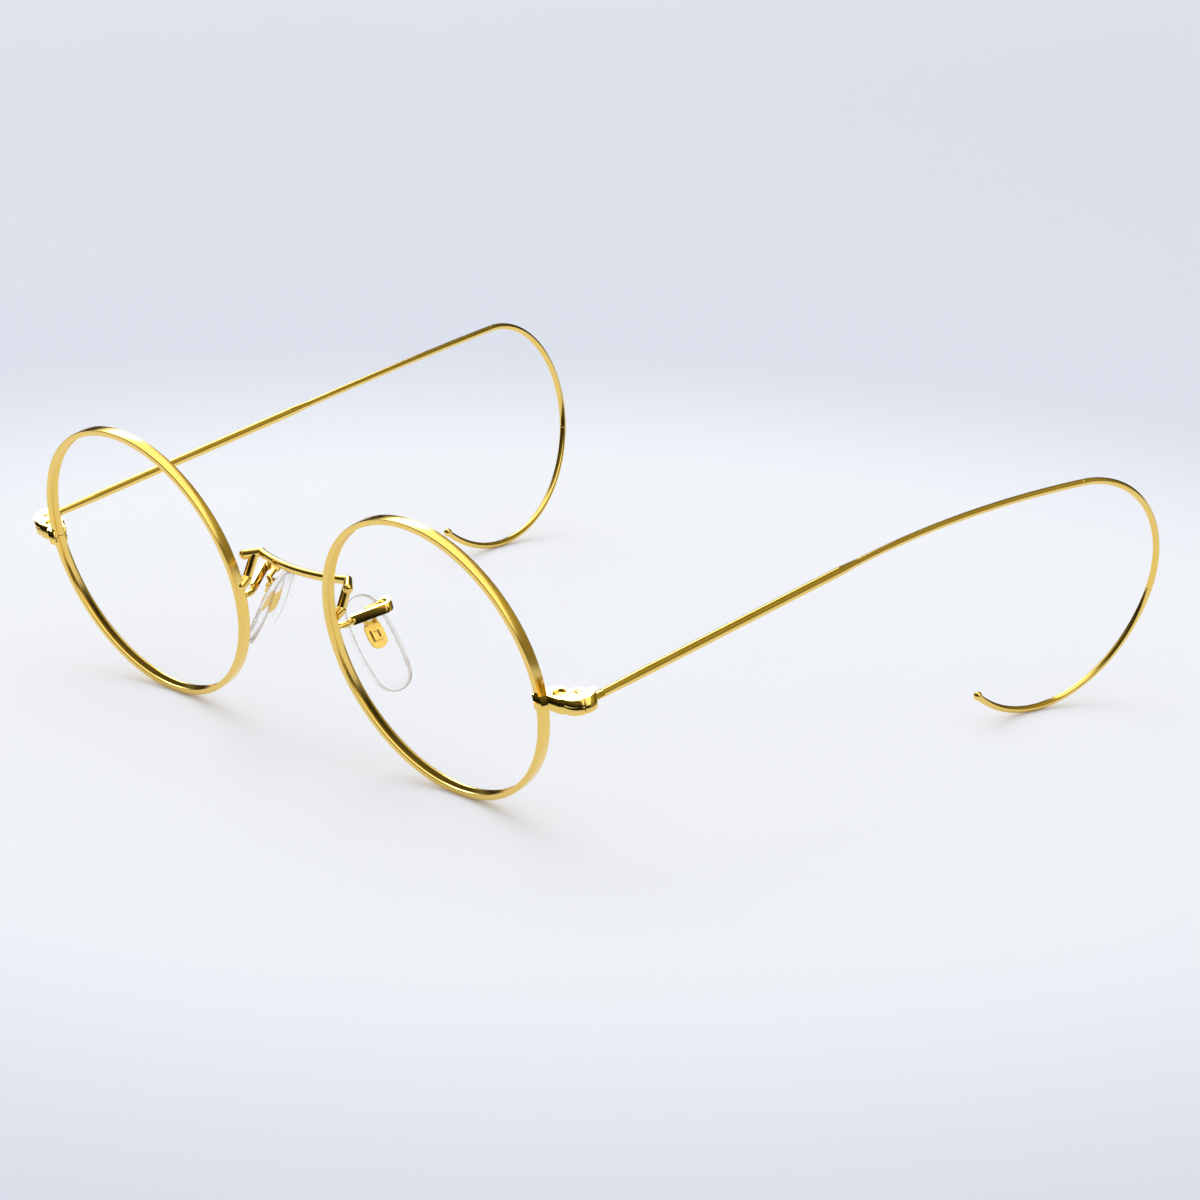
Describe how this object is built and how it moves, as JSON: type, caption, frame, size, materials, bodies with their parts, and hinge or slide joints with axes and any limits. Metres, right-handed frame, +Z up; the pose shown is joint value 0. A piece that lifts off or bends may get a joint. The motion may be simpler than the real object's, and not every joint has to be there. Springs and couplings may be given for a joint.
{
  "type": "eyeglass frame",
  "caption": "Round gold wire eyeglass frame with a bar bridge, adjustable clear nose pads, folding straight sides and curled wire ear hooks, without lenses.",
  "frame": {"origin": "centre of the footprint on the surface that the rims and ear hooks stand on", "axes": "+X to the wearer's left, +Y from the lenses back along the sides, +Z up from the surface; the lens plane leans forward by 15.9 degrees"},
  "size_m": [0.14, 0.1326, 0.0447],
  "materials": {
    "frame_gold": "polished gold",
    "screw_gold": "polished gold",
    "clear_pad": "clear smooth plastic"
  },
  "bodies": {
    "front": {"bridge_bar": "frame_gold", "eyewire_left": "frame_gold", "eyewire_right": "frame_gold", "block_upper_left": "frame_gold", "block_upper_right": "frame_gold", "block_lower_left": "frame_gold", "block_lower_right": "frame_gold", "closing_screw_left": "screw_gold", "closing_screw_right": "screw_gold", "hinge_screw_left": "screw_gold", "hinge_screw_right": "screw_gold", "bridge_post_left": "frame_gold", "bridge_post_right": "frame_gold", "pad_arm_left": "frame_gold", "pad_arm_right": "frame_gold", "pad_pin_left": "screw_gold", "pad_pin_right": "screw_gold"},
    "side_left": {"side_joint_left": "frame_gold", "side_shaft_left": "frame_gold", "side_curl_left": "frame_gold"},
    "pad_left": {"pad_plate_left": "frame_gold", "nose_pad_left": "clear_pad"},
    "side_right": {"side_joint_right": "frame_gold", "side_shaft_right": "frame_gold", "side_curl_right": "frame_gold"},
    "pad_right": {"pad_plate_right": "frame_gold", "nose_pad_right": "clear_pad"}
  },
  "joints": [
    {"name": "side_left_fold", "type": "hinge", "parent": "front", "child": "side_left", "pos_m": [0.0611, -0.05677, 0.02237], "axis": [0, -0.2745, 0.9616], "range_deg": [0, 80]},
    {"name": "pad_left_rock", "type": "hinge", "parent": "front", "child": "pad_left", "pos_m": [0.01113, -0.05233, 0.0225], "axis": [0.2079, 0.9406, 0.2685], "range_deg": [-6, 6]},
    {"name": "side_right_fold", "type": "hinge", "parent": "front", "child": "side_right", "pos_m": [-0.0611, -0.05677, 0.02237], "axis": [0, 0.2745, -0.9616], "range_deg": [0, 74]},
    {"name": "pad_right_rock", "type": "hinge", "parent": "front", "child": "pad_right", "pos_m": [-0.01113, -0.05233, 0.0225], "axis": [-0.2079, 0.9406, 0.2685], "range_deg": [-6, 6]}
  ]
}
